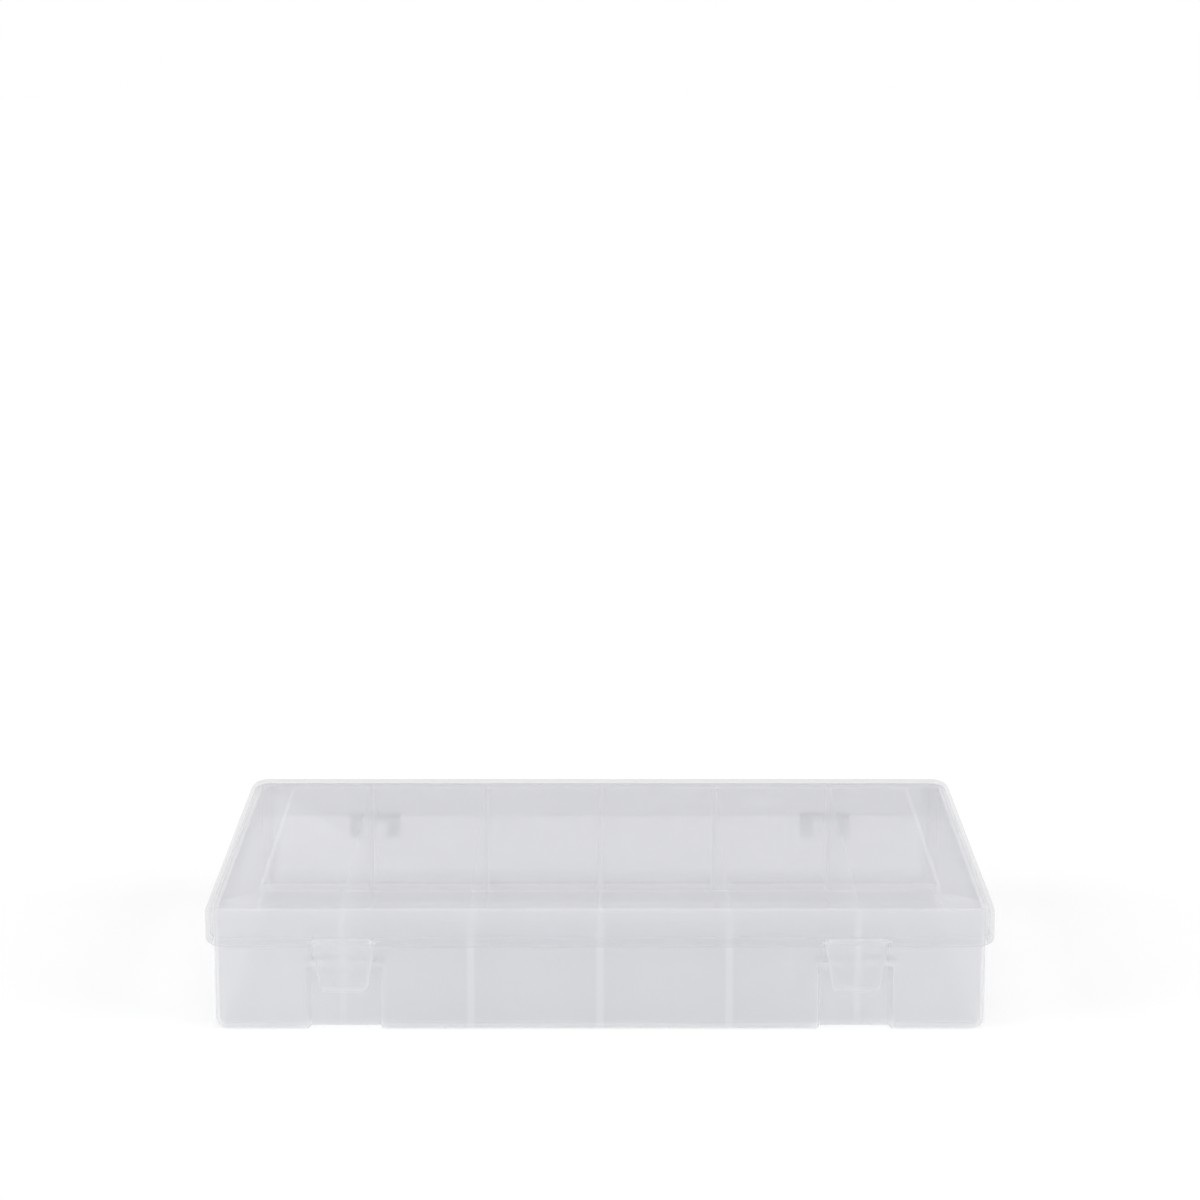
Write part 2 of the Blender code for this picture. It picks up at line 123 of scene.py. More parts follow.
def rounded_columns(front, side, rear, steps):
    """A rounded rectangle as columns, anticlockwise from the left end of its front.

    A column is a place on the rectangle between the corner centres, in shares of its half sides,
    and the outward direction along which the corner radius is added."""
    turn = np.linspace(0, np.pi / 2, steps + 2)[1:-1]
    sine, cosine, one = np.sin(turn), np.cos(turn), np.ones(steps)
    along_side = np.ones(len(side))
    along_front, along_rear = np.ones(len(front)), np.ones(len(rear))
    place_x = [front, one, along_side, one, -rear, -one, -along_side, -one]
    place_y = [-along_front, -one, side, one, along_rear, one, -side, -one]
    out_x = [0 * front, sine, along_side, cosine, 0 * rear, -sine, -along_side, -cosine]
    out_y = [-along_front, -cosine, 0 * side, sine, along_rear, cosine, 0 * side, -sine]
    place = np.column_stack([np.concatenate(place_x), np.concatenate(place_y)])
    return place, np.column_stack([np.concatenate(out_x), np.concatenate(out_y)])


def rounded_rings(columns, half, corner, inset):
    """Plan rings: the corner centres' rectangle plus what an inset leaves of the corner radius."""
    place, out = columns
    corner = np.broadcast_to(corner, inset.shape)
    ends = half - corner[:, None]
    return place * ends[:, None] + out * (corner - inset)[:, None, None]


def join_rings(rings, white, ends, dense=None):
    """Points, faces, whiteness and density of a surface through rings of equal length.

    Quads join each ring to the next; the end rings are filled, or joined to each other for a
    closed loop. Where no density is given, a place is as dense as it is white."""
    rows, count = rings.shape[:2]
    index = np.arange(rows * count).reshape(rows, count)
    low, high = (index, np.roll(index, -1, axis=0)) if ends == "joined" else (index[:-1], index[1:])
    quads = np.stack([low, np.roll(low, -1, 1), np.roll(high, -1, 1), high], axis=-1).reshape(-1, 4)
    faces = quads.tolist()
    if ends == "filled":
        faces += [index[0, ::-1].tolist(), index[-1].tolist()]
    dense = white if dense is None else dense
    white, dense = (np.broadcast_to(share, (rows, count)).ravel() for share in (white, dense))
    return rings.reshape(-1, 3), faces, white, dense


def make_piece(name, shapes):
    """One object from closed shapes; doubled points are merged and every face is turned outwards.

    Both point attributes are 0 on a plain wall. Whiteness is 1 where the plastic is thick enough to
    look white. It also carries painted light above 0, and painted shade down to -1, as where the
    plastic bends. Density is 1 where nothing shows through it, and down to -1 where it looks nearly
    clear."""
    whole = bmesh.new()
    for points, faces, white, dense in shapes:
        mesh = bpy.data.meshes.new(name)
        mesh.from_pydata(points.tolist(), [], faces)
        for attribute, share in (("whiteness", white), ("density", dense)):
            data = mesh.attributes.new(attribute, "FLOAT", "POINT").data
            data.foreach_set("value", np.clip(share, -1, 1))
        part = bmesh.new()
        part.from_mesh(mesh)
        bmesh.ops.remove_doubles(part, verts=part.verts, dist=2e-6)
        bmesh.ops.dissolve_degenerate(part, edges=part.edges, dist=1e-6)
        bmesh.ops.recalc_face_normals(part, faces=part.faces)
        part.to_mesh(mesh)
        part.free()
        whole.from_mesh(mesh)
        bpy.data.meshes.remove(mesh)
    mesh = bpy.data.meshes.new(name)
    whole.to_mesh(mesh)
    whole.free()
    mesh.shade_smooth()
    mesh.set_sharp_from_angle(angle=math.radians(40))
    piece = bpy.data.objects.new(name, mesh)
    bpy.context.scene.collection.objects.link(piece)
    return piece


def ramp(distance, length):
    """0 to 1 as a distance goes from 0 to a length, with soft ends."""
    share = np.clip(distance / length, 0, 1)
    return share * share * (3 - 2 * share)


def rib_profile(x):
    """1 across the two ribs beside each divider and 0 elsewhere, with short slopes between."""
    away = np.abs(x[..., None] - DIVIDER_PLACES).min(-1)
    rise = ramp(away - RIB_NEAR, RIB_SLOPE)
    return rise * ramp(RIB_NEAR + RIB_WIDTH - away, RIB_SLOPE)


def recess(x, level, wall):
    """Depth of the front recesses, behind the front face, at each place and height.

    Below, a pocket whose sides close in towards its back; above the catch bar, a shallow
    channel. The wall is 0 for their outside and the wall's thickness for their inside."""
    near = np.abs(np.abs(x) - LATCH_X)
    pocket = np.clip((POCKET_HALF + wall - near) / POCKET_DRAFT, 0, 1) * (POCKET_DEPTH + wall)
    channel = ramp(CHANNEL_HALF + wall - near, CHANNEL_SLOPE) * (CHANNEL_DEPTH + wall)
    pocket_top = CHANNEL_LOW if wall else POCKET_TOP
    in_channel = (level > CHANNEL_LOW) & (level < CHANNEL_TOP + wall)
    return np.where(level < pocket_top, pocket, np.where(in_channel, channel, 0))


def tray_columns():
    """Columns round the tray: close together at the ribs and recesses, and wider apart between."""
    ends = TRAY_HALF - TRAY_CORNER
    # From a divider's middle: the near slope of a rib, then its far slope, both in slope lengths
    near_slope = RIB_NEAR + np.array([-0.4, 0, 0.5, 1, 10.25]) * RIB_SLOPE
    far_slope = RIB_NEAR + RIB_WIDTH - np.array([-6, 0, 0.5, 1]) * RIB_SLOPE
    rib_edges = np.concatenate([near_slope, far_slope, [0]])
    ribs = (DIVIDER_PLACES[:, None] + np.concatenate([-rib_edges, rib_edges])).ravel()
    slopes = np.linspace(0, CHANNEL_SLOPE, 5)
    pocket_sides = POCKET_HALF - POCKET_DRAFT * np.linspace(0, 1, 5)
    recess_edges = [pocket_sides, POCKET_HALF - 2 * POCKET_DRAFT, CHANNEL_HALF - slopes]
    recess_edges += [POCKET_HALF + TRAY_WALL, POCKET_HALF + TRAY_WALL - POCKET_DRAFT]
    recess_edges += [CHANNEL_HALF + TRAY_WALL - slopes]
    recess_edges = np.hstack(recess_edges)
    near = np.concatenate([LATCH_X - recess_edges, LATCH_X + recess_edges])
    plain = np.linspace(-ends[0], ends[0], PLAIN_COLUMNS)
    front = np.unique(np.round(np.concatenate([plain, ribs, near, -near]), 7))
    rear = np.unique(np.round(np.concatenate([plain, ribs]), 7))
    side = np.linspace(-1, 1, SIDE_COLUMNS)
    return rounded_columns(front / ends[0], side, rear / ends[0], TRAY_CORNER_COLUMNS)


def tray_rows():
    """Inset, height and side of a ledge for each row, over the outside, the rim and the inside."""
    inside_edge = TRAY_EDGE - TRAY_WALL
    inner_floor = TRAY_FLOOR + inside_edge
    foot = arc((TRAY_EDGE, TRAY_EDGE), TRAY_EDGE, 270, 180, 10)
    ledges = [(0, z, side) for z in (POCKET_TOP, CHANNEL_LOW, CHANNEL_TOP) for side in (-1, 1)]
    outer = [(0, 0.010, 0), (0, 0.018, 0), *ledges, (0, RIM_Z - 2 * RIM_EDGE, 0)]
    rim = arc((RIM_EDGE, RIM_Z - RIM_EDGE), RIM_EDGE, 180, 90, 4).tolist()
    rim += arc((TRAY_WALL - RIM_EDGE, RIM_Z - RIM_EDGE), RIM_EDGE, 90, 0, 4).tolist()
    roof = CHANNEL_TOP + TRAY_WALL
    steps = (RIB_TOP, roof + RIB_DEPTH, roof, CHANNEL_LOW + RIB_DEPTH, CHANNEL_LOW)
    inner = [(TRAY_WALL, z, side) for z in steps for side in (1, -1)] + [(TRAY_WALL, 0.012, 0)]
    inside_foot = arc((TRAY_WALL + inside_edge, inner_floor), inside_edge, 180, 270, 8)
    rows = [(TRAY_EDGE + 2 * RIM_EDGE, 0, 0), *((a, b, 0) for a, b in foot), *outer]
    rows += [(a, b, 0) for a, b in rim] + inner + [(a, b, 0) for a, b in inside_foot]
    rows += [(TRAY_EDGE + 2 * RIM_EDGE, TRAY_FLOOR, 0)]
    first_inner = 1 + len(foot) + len(outer) + len(rim)
    return np.array(rows), first_inner


def tray_milk_and_painted_light(columns, x, inset, height, level, inner):
    """Whiteness and density over the tray, from where each column and row is.

    It is milkier at the rim, the dividers' seats and the channels' sides. Painted light makes the
    recesses' backs, the pockets' sides towards the middle, the floor, the rear wall and the ends of
    the outer skin lighter. It makes the seats lighter still in the recesses and behind the lid's
    skirt. Painted shade makes the outer skin darker where it bends. Each of these is a soft step of
    the distance from its place, and the greatest whiteness holds."""
    place, out = columns
    front, rear = ((out[:, 1] == side) & (np.abs(place[:, 0]) < 1) for side in (-1, 1))
    from_latch = np.abs(np.abs(x) - LATCH_X)
    behind_lid = level > LIP_Z
    on_wall = inset < TRAY_EDGE + RIM_EDGE  # and not on the filled floor
    from_divider = np.abs(x[..., None] - DIVIDER_PLACES).min(-1)
    seat = ramp(SEAT_HALF - from_divider, SEAT_BLUR) * (front | rear) * on_wall
    seat_painted_light = SEAT_PAINTED_LIGHT * (behind_lid | ((from_latch < POCKET_HALF) & front))
    pocket_side = np.abs(from_latch - POCKET_HALF + POCKET_DRAFT / 2)
    pocket_side = ramp(POCKET_SIDE_HALF - pocket_side, POCKET_SIDE_BLUR)
    pocket_side = pocket_side * front * (level < POCKET_TOP)
    pocket_back = ramp(POCKET_HALF - from_latch, POCKET_DRAFT) * front * (level < POCKET_TOP)
    channel_side = np.abs(np.abs(x) - LATCH_X + CHANNEL_HALF)
    channel_side = ramp(CHANNEL_SIDE_HALF - channel_side, CHANNEL_SIDE_BLUR)
    channel_side = channel_side * front * (level > CHANNEL_LOW) * (level < CHANNEL_TOP)
    ends = ramp(np.abs(x) - PAINTED_END_LIGHT_START, PAINTED_END_LIGHT_LENGTH) * ramp(np.abs(out[:, 1]), 0.5) * ~inner
    bend = ramp(np.abs(out[:, 0]) - BEND_START, BEND_LENGTH) * ramp(np.abs(out[:, 1]), 0.3)
    rim = ramp(height - RIM_Z + 3 * RIM_EDGE, RIM_EDGE)

    white = [(SEAT_WHITENESS + seat_painted_light) * seat, POCKET_BACK_PAINTED_LIGHT * pocket_back]
    white += [POCKET_SIDE_PAINTED_LIGHT * pocket_side * (np.abs(x) < LATCH_X)]
    white += [CHANNEL_SIDE_WHITENESS * channel_side, ends]
    white = np.maximum.reduce(white)
    white = np.where(inset > TRAY_EDGE + RIM_EDGE, 0, np.maximum(white, rim))
    white = np.maximum(white, REAR_WALL_PAINTED_LIGHT * rear * (height > TRAY_EDGE))
    below_rim = height < RIM_Z - 2 * RIM_EDGE
    dense = white - END_CLEARNESS * ends - SEAT_CLEARNESS * seat * behind_lid * below_rim
    dense = dense - POCKET_SIDE_CLEARNESS * pocket_side * (np.abs(x) > LATCH_X)
    dense = np.where(inner, dense, SKIN_DENSITY + (1 - SKIN_DENSITY) * dense)
    white = np.where(inner & (height < TRAY_EDGE), FLOOR_PAINTED_LIGHT, white)
    skin = SKIN_WHITENESS + (1 - SKIN_WHITENESS) * white - BEND_DARKNESS * bend * on_wall
    return np.where(inner, white, skin), dense


def tray_shape():
    """The tray's skin: plan rings up the outside, over the rim and down the inside.

    The front part of a ring is pushed back to the recess depth where that lies behind it, and
    inside, the front and rear parts are pushed in over the ribs."""
    rows, first_inner = tray_rows()
    inset, height = rows[:, 0], rows[:, 1]
    level = (height + STEP * rows[:, 2])[:, None]
    columns = tray_columns()
    plan = rounded_rings(columns, TRAY_HALF, TRAY_CORNER, inset)
    x, y = plan[..., 0], plan[..., 1]
    inner = (np.arange(len(rows)) >= first_inner)[:, None]
    face = -TRAY_HALF[1]
    front = (columns[1][:, 1] == -1) & (np.abs(columns[0][:, 0]) < 1)
    rear = (columns[1][:, 1] == 1) & (np.abs(columns[0][:, 0]) < 1)
    outside = face + recess(x, level, 0)
    inside = face + recess(x, level, TRAY_WALL)
    ribs = rib_profile(x) * (level < RIB_TOP)
    rib_back = np.maximum(recess(x, level - RIB_DEPTH, TRAY_WALL), TRAY_WALL)
    inside = np.maximum(inside, face + ribs * (rib_back + RIB_DEPTH))
    y = np.where(front, np.maximum(y, np.where(inner, inside, outside)), y)
    y = np.where(rear & inner, np.minimum(y, -face - ribs * (TRAY_WALL + RIB_DEPTH)), y)
    rings = np.stack([x, y, np.broadcast_to(height[:, None], x.shape)], axis=-1)
    white, dense = tray_milk_and_painted_light(columns, x, inset[:, None], height[:, None], level, inner)
    return join_rings(rings, white, "filled", dense)


def eye_plate(outline, low, high):
    """A flat eye with a round hole: its outline is carried along X, and its ends run to the hole.

    Each point of the hole lies in the direction of its outline point from the hinge axis."""
    axis = np.array([HINGE_Y, HINGE_Z])
    ray = outline - axis
    length = np.hypot(*ray.T)[:, None]
    hole = axis + ray / length * EYE_HOLE
    drawn_in = outline - ray / length * EDGE_BREAK
    rows = [(hole, low), (drawn_in, low), (outline, low + EDGE_BREAK)]
    rows += [(outline, high - EDGE_BREAK), (drawn_in, high), (hole, high)]
    rings = np.stack([np.column_stack([np.full(len(points), x), points]) for points, x in rows])
    return join_rings(rings, EYE_WHITENESS, "joined", EYE_DENSITY)


def ear_outline():
    """An eye on a web: over the eye from its wall side, down to the web's foot and up the wall."""
    wall = TRAY_HALF[1] - EAR_ROOT
    foot_z = HINGE_Z - EYE_RADIUS - EAR_FOOT
    top = arc((HINGE_Y, HINGE_Z), EYE_RADIUS, 180, -60, EYE_STEPS)
    web = np.linspace(top[-1], (wall, foot_z), 8)[1:]
    root = np.column_stack([np.full(9, wall), np.linspace(foot_z, HINGE_Z, 10)[1:]])
    return np.concatenate([top, web, root])


def let_light_through(tree, shader, colour, spread, solid):
    """Mixes a surface with light spread on its way through, and both with light that goes on.

    Spread is the share of the body that spreads light, and solid the share that is body at all;
    each is a number or a socket."""
    new, link = tree.nodes.new, tree.links.new
    spreading, clear = new("ShaderNodeBsdfTranslucent"), new("ShaderNodeBsdfTransparent")
    body, whole = new("ShaderNodeMixShader"), new("ShaderNodeMixShader")
    link(colour, spreading.inputs["Color"])
    mixes = ((body, spread, shader, spreading), (whole, solid, clear, body))
    for mix, share, first, second in mixes:
        if isinstance(share, float):
            mix.inputs[0].default_value = share
        else:
            link(share, mix.inputs[0])
        link(first.outputs[0], mix.inputs[1])
        link(second.outputs[0], mix.inputs[2])
    link(whole.outputs[0], tree.nodes["Material Output"].inputs["Surface"])


# Cells a metre of the noises in the plastic
STREAKS = 9
PATCHES = 160
MOTTLE = 420
GRAIN = 1500
# Share of the thin colour left in a flow streak, in the mottle and in the darkest painted shade at
# a bend
STREAK_TONE = 0.965
MOTTLE_TONE = 0.93
DARK_TONE = 0.6
SPREAD_THICK = 0.2  # share of the light that thick plastic spreads on its way through
SOLID_MOST = 0.95  # share that is body where the density is 1
SOLID_LEAST = 0.25  # what is left of a plain wall's body where it is -1
GRAIN_STRENGTH = 0.15
GRAIN_DEPTH = 0.00005


def grained_plastic(name, thin, thick, see_through, spread, roughness, gloss):
    """Frosted polypropylene: milky, whiter and denser where thick, under a fine moulded grain.

    Colour runs from thin to thick as whiteness goes from 0 to 1, for thick plastic and painted
    light alike, and darkens below 0 with painted shade. It also drifts a little with slow flow
    streaks. Part of the light passes straight through, less of it with density, and part is spread
    on its way."""
    material = bpy.data.materials.new(name)
    material.use_nodes = True
    tree = material.node_tree
    new, link = tree.nodes.new, tree.links.new
    shader = tree.nodes["Principled BSDF"]
    place = new("ShaderNodeTexCoord").outputs["Object"]

    def noise(scale, detail, stretch=(1, 1, 1)):
        """Noise in the piece's own space, drawn out where the stretch is below 1."""
        stretched = new("ShaderNodeMapping")
        stretched.inputs["Scale"].default_value = stretch
        texture = new("ShaderNodeTexNoise")
        texture.inputs["Scale"].default_value = scale
        texture.inputs["Detail"].default_value = detail
        link(place, stretched.inputs["Vector"])
        link(stretched.outputs["Vector"], texture.inputs["Vector"])
        return texture.outputs["Fac"]

    def spread_over(value, low, high, least, most):
        """The value's range from low to high, carried over to least and most."""
        over = new("ShaderNodeMapRange")
        sockets = ("From Min", "From Max", "To Min", "To Max")
        for socket, number in zip(sockets, (low, high, least, most)):
            over.inputs[socket].default_value = number
        link(value, over.inputs["Value"])
        return over.outputs["Result"]

    def blend_colour(share, first, second):
        """A share of the second colour in the first; each is a tuple or a socket."""
        mix = new("ShaderNodeMix")
        mix.data_type = "RGBA"
        link(share, mix.inputs["Factor"])
        for socket, colour in ((mix.inputs[6], first), (mix.inputs[7], second)):
            if isinstance(colour, tuple):
                socket.default_value = (*colour, 1)
            else:
                link(colour, socket)
        return mix.outputs[2]

    def toned(share):
        return tuple(c * share for c in thin)

    whiteness, density = new("ShaderNodeAttribute"), new("ShaderNodeAttribute")
    whiteness.attribute_name, density.attribute_name = "whiteness", "density"
    streaks = spread_over(noise(STREAKS, 4, (1, 0.35, 1)), 0.35, 0.65, 0, 1)
    cloudy = blend_colour(streaks, thin, toned(STREAK_TONE))
    mottle = spread_over(noise(MOTTLE, 2), 0.3, 0.7, 0, 0.5)
    cloudy = blend_colour(mottle, cloudy, toned(MOTTLE_TONE))
    colour = blend_colour(spread_over(whiteness.outputs["Fac"], 0, 1, 0, 1), cloudy, thick)
    painted_shade = spread_over(whiteness.outputs["Fac"], -1, 0, 1, 0)
    colour = blend_colour(painted_shade, colour, toned(DARK_TONE))
    link(colour, shader.inputs["Base Color"])
    patches = spread_over(noise(PATCHES, 3), 0.3, 0.7, roughness - 0.05, roughness + 0.06)
    link(patches, shader.inputs["Roughness"])
    shader.inputs["Specular IOR Level"].default_value = gloss
    bump = new("ShaderNodeBump")
    bump.inputs["Strength"].default_value = GRAIN_STRENGTH
    bump.inputs["Distance"].default_value = GRAIN_DEPTH
    link(noise(GRAIN, 2), bump.inputs["Height"])
    link(bump.outputs["Normal"], shader.inputs["Normal"])

    spread = spread_over(whiteness.outputs["Fac"], 0, 1, spread, SPREAD_THICK)
    solid = new("ShaderNodeMath")
    solid.operation = "MULTIPLY"
    body = spread_over(density.outputs["Fac"], 0, 1, 1 - see_through, SOLID_MOST)
    thinned = spread_over(density.outputs["Fac"], -1, 0, SOLID_LEAST, 1)
    link(body, solid.inputs[0])
    link(thinned, solid.inputs[1])
    let_light_through(tree, shader, colour, spread, solid.outputs[0])
    return material


tray_plastic = grained_plastic(
    "tray_polypropylene", thin=(0.64, 0.645, 0.668), thick=(0.96, 0.965, 0.988),
    see_through=0.66, spread=0.5, roughness=0.42, gloss=0.12)
ears = []
for middle in (-HINGE_X, HINGE_X):
    for low, high in ((-EAR_OUTER, -EAR_INNER), (EAR_INNER, EAR_OUTER)):
        ears.append(eye_plate(ear_outline(), middle + low, middle + high))
tray = make_piece("tray_moulding", [tray_shape(), *ears])
tray.data.materials.append(tray_plastic)
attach(tray, "tray")
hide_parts("base_tray")


# Dividers
# Five upright plates of the same plastic, dropped into the slots between the ribs. The two outer
# ones are notched at the front round the backs of the latch recesses.
DIVIDER_HALF = 0.0007
DIVIDER_GAP = 0.0003
DIVIDER_TOP = RIM_Z - 0.0003
DIVIDER_CORNER = 0.0020
DIVIDER_ROUND = 0.0004
EDGE_GLOW = 0.0016  # how far in from an edge the plate looks thick
FLANK_WHITENESS = 0.35  # whiteness just inside the edge's rounding, and where that begins
ROUND_WHITENESS = 0.5
EDGE_DENSITY = 0.5


def divider_outline(notched):
    """A divider's side view in Y and Z: round at floor and top, and stepped round a recess."""
    low = TRAY_FLOOR + DIVIDER_GAP
    wall = TRAY_HALF[1] - TRAY_WALL - DIVIDER_GAP
    foot = TRAY_EDGE - TRAY_WALL
    head = DIVIDER_TOP - DIVIDER_CORNER
    parts = [arc((wall - foot, low + foot), foot, 270, 360, 8)]
    parts += [arc((wall - DIVIDER_CORNER, head), DIVIDER_CORNER, 0, 90, 6)]
    parts += [arc((DIVIDER_CORNER - wall, head), DIVIDER_CORNER, 90, 180, 6)]
    if notched:
        back = TRAY_WALL + DIVIDER_GAP - TRAY_HALF[1]
        roof = CHANNEL_TOP + TRAY_WALL + DIVIDER_GAP
        ledge = CHANNEL_LOW + DIVIDER_GAP
        channel, pocket = back + CHANNEL_DEPTH, back + POCKET_DEPTH
        parts += [[(back, roof), (channel, roof), (channel, ledge), (pocket, ledge)]]
        parts += [[(pocket, low)]]
    else:
        parts += [arc((foot - wall, low + foot), foot, 180, 270, 8)]
    return np.concatenate(parts)


def drawn_in(outline, inset):
    """An outline moved inwards, each point along the mitre of the two edges that meet there."""
    ahead = np.roll(outline, -1, 0) - outline
    ahead /= np.hypot(*ahead.T)[:, None]
    normal = np.column_stack([-ahead[:, 1], ahead[:, 0]])
    before = np.roll(normal, 1, 0)
    mitre = (normal + before) / (1 + (normal * before).sum(1))[:, None]
    return outline + mitre * inset


def plate_shape(outline, middle):
    """A plate across X: the outline is drawn in over each rounded edge, and again on each side."""
    round_x = DIVIDER_HALF - DIVIDER_ROUND
    edge = arc((DIVIDER_ROUND, round_x), DIVIDER_ROUND, 90, 180, 4)
    half = [(EDGE_GLOW, DIVIDER_HALF, 0), (2 * DIVIDER_ROUND, DIVIDER_HALF, FLANK_WHITENESS)]
    whiter = np.linspace(ROUND_WHITENESS, 1, len(edge))
    half += [(inset, x, share) for (inset, x), share in zip(edge, whiter)]
    rows = [(inset, -x, share) for inset, x, share in half] + half[::-1]
    rings = []
    for inset, x, share in rows:
        points = drawn_in(outline, inset)
        rings.append(np.column_stack([np.full(len(points), middle + x), points]))
    white = np.array([share for *_, share in rows])[:, None]
    return join_rings(np.stack(rings), white, "filled", EDGE_DENSITY * white)


divider_plastic = grained_plastic(
    "divider_polypropylene", thin=(0.92, 0.923, 0.935), thick=(0.985, 0.986, 0.99),
    see_through=0.86, spread=0.6, roughness=0.45, gloss=0.3)
for number, place in enumerate(DIVIDER_PLACES, start=1):
    notched = abs(abs(place) - LATCH_X) < POCKET_HALF
    divider = make_piece(f"divider_{number}_plate", [plate_shape(divider_outline(notched), place)])
    divider.data.materials.append(divider_plastic)
    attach(divider, "tray")
    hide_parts(f"divider_{number}")


# Hinge pins
# Two short rods of natural white nylon, cut to length and chamfered, and pushed through the tray's
# ears and the lid's knuckles.
PIN_RADIUS = 0.0010
PIN_HALF = 0.0109
PIN_CHAMFER = 0.0002
ROD_SIDES = 32
DRAWN_STREAKS = 5200  # cells a metre across the rod, and a small share of that along it
DRAWN_OUT = 0.04


def rod_shape(x, radius, centre, white):
    """A rod along X: a circle about the axis at each place, with the radius given for it."""
    turn = np.linspace(0, 2 * np.pi, ROD_SIDES, endpoint=False)
    ring = np.column_stack([np.cos(turn), np.sin(turn)])
    points = centre + ring[None] * np.asarray(radius)[:, None, None]
    along = np.broadcast_to(np.asarray(x)[:, None, None], (len(x), ROD_SIDES, 1))
    return join_rings(np.concatenate([along, points], axis=-1), white, "filled")


def extruded_nylon(name):
    """Nylon rod: milky white, with fine streaks along it in its colour, roughness and bump."""
    material = bpy.data.materials.new(name)
    material.use_nodes = True
    tree = material.node_tree
    new, link = tree.nodes.new, tree.links.new
    shader = tree.nodes["Principled BSDF"]
    place = new("ShaderNodeTexCoord")
    drawn = new("ShaderNodeMapping")
    drawn.inputs["Scale"].default_value = (DRAWN_OUT, 1, 1)
    streaks = new("ShaderNodeTexNoise")
    streaks.inputs["Scale"].default_value = DRAWN_STREAKS
    link(place.outputs["Object"], drawn.inputs["Vector"])
    link(drawn.outputs["Vector"], streaks.inputs["Vector"])
    tone = new("ShaderNodeValToRGB")
    tone.color_ramp.elements[0].color = (0.88, 0.88, 0.86, 1)
    tone.color_ramp.elements[1].color = (0.94, 0.94, 0.93, 1)
    link(streaks.outputs["Fac"], tone.inputs["Fac"])
    link(tone.outputs["Color"], shader.inputs["Base Color"])
    rough = new("ShaderNodeMapRange")
    rough.inputs["To Min"].default_value = 0.30
    rough.inputs["To Max"].default_value = 0.45
    link(streaks.outputs["Fac"], rough.inputs["Value"])
    link(rough.outputs["Result"], shader.inputs["Roughness"])
    bump = new("ShaderNodeBump")
    bump.inputs["Strength"].default_value = 0.2
    bump.inputs["Distance"].default_value = 0.00002
    link(streaks.outputs["Fac"], bump.inputs["Height"])
    link(bump.outputs["Normal"], shader.inputs["Normal"])
    let_light_through(tree, shader, tone.outputs["Color"], spread=0.75, solid=0.14)
    return material


nylon = extruded_nylon("pin_nylon")
for name, middle in (("hinge_pin_left", -HINGE_X), ("hinge_pin_right", HINGE_X)):
    ends = np.array([-PIN_HALF, PIN_CHAMFER - PIN_HALF, PIN_HALF - PIN_CHAMFER, PIN_HALF])
    radii = PIN_RADIUS - PIN_CHAMFER * np.array([1, 0, 0, 1])
    pin = make_piece(f"{name}_rod", [rod_shape(middle + ends, radii, (HINGE_Y, HINGE_Z), 0)])
    pin.data.materials.append(nylon)
    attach(pin, "tray")
    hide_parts(name)


# Lid
# A flat top framed by a low raised line, with a deep skirt that ends in a thicker, round-edged lip.
# Moulded in one shot; the front lip is notched for the latches and the rear lip carries knuckles.
LID_HALF = np.array([0.1600, 0.1040])
LID_TOP = 0.0536
LID_CORNER = 0.0090
LID_EDGE = 0.0048
LID_WALL = 0.0018
LIP_THICKNESS = 0.00265
SHELF_Z = 0.0399
BEAD_INSET = 0.0200
BEAD_WIDTH = 0.0020
BEAD_HEIGHT = 0.0005
BEAD_CORNER = 0.0015
NOTCH_HALF = 0.0129
SUPPORT = 0.0005  # a row this far before and after a rounding keeps the flat beside it flat
KNUCKLE_HALF = 0.0050
LATCH_Y = -0.102675
LATCH_Z = 0.038075
LID_CORNER_COLUMNS = 11
# Whiteness and density over the lid. A corner's turn goes from 0 at the front to 1 at the side.
BEAD_WHITENESS = 0.65
BEAD_FULLNESS = 0.6  # below 1 the line's light spreads out towards its feet
EDGE_SHADE = [0, 0, 0, 0, 0, -0.05, -0.1, -0.15, -0.15, -0.15, -0.15, -0.15, -0.15]
SKIRT_TOP_SHADE = -0.1
LIP_SHADE = [-0.3, -0.15, 0, 0, -0.1, -0.3, -0.5, -0.6, -0.6]
LIP_INSIDE = 0.12
CORNER_HIGHLIGHT = 0.2  # a painted highlight down each corner of the skirt
CORNER_HIGHLIGHT_TURN = 0.36
CORNER_HIGHLIGHT_WIDTH = 0.16
# Painted light towards the ends of the front skirt
SKIRT_END_PAINTED_LIGHT = 0.15
MARGIN_PAINTED_LIGHT = 0.05  # painted light on the top's front margin, against the shade seen through it, and what its ends add
MARGIN_END_PAINTED_LIGHT = 0.5
REAR_SHADE_BAND = 0.0105  # painted shade from the rear edge to where the tray's rim is seen through the top
REAR_SHADE_BLUR = 0.0045
REAR_DENSITY = 0.9
SIDE_TURN = 0.4  # painted shade: from here the sides are dark and dense, as they are seen along the wall
SIDE_BLUR = 0.2
SIDE_DARKNESS = 0.75
SIDE_DENSITY = 0.8
HIGHLIGHT_SPOT_TURN = 0.6  # a painted highlight on each front corner, this far below the top
HIGHLIGHT_SPOT_WIDTH = 0.15
HIGHLIGHT_SPOT_DROP = 0.0008


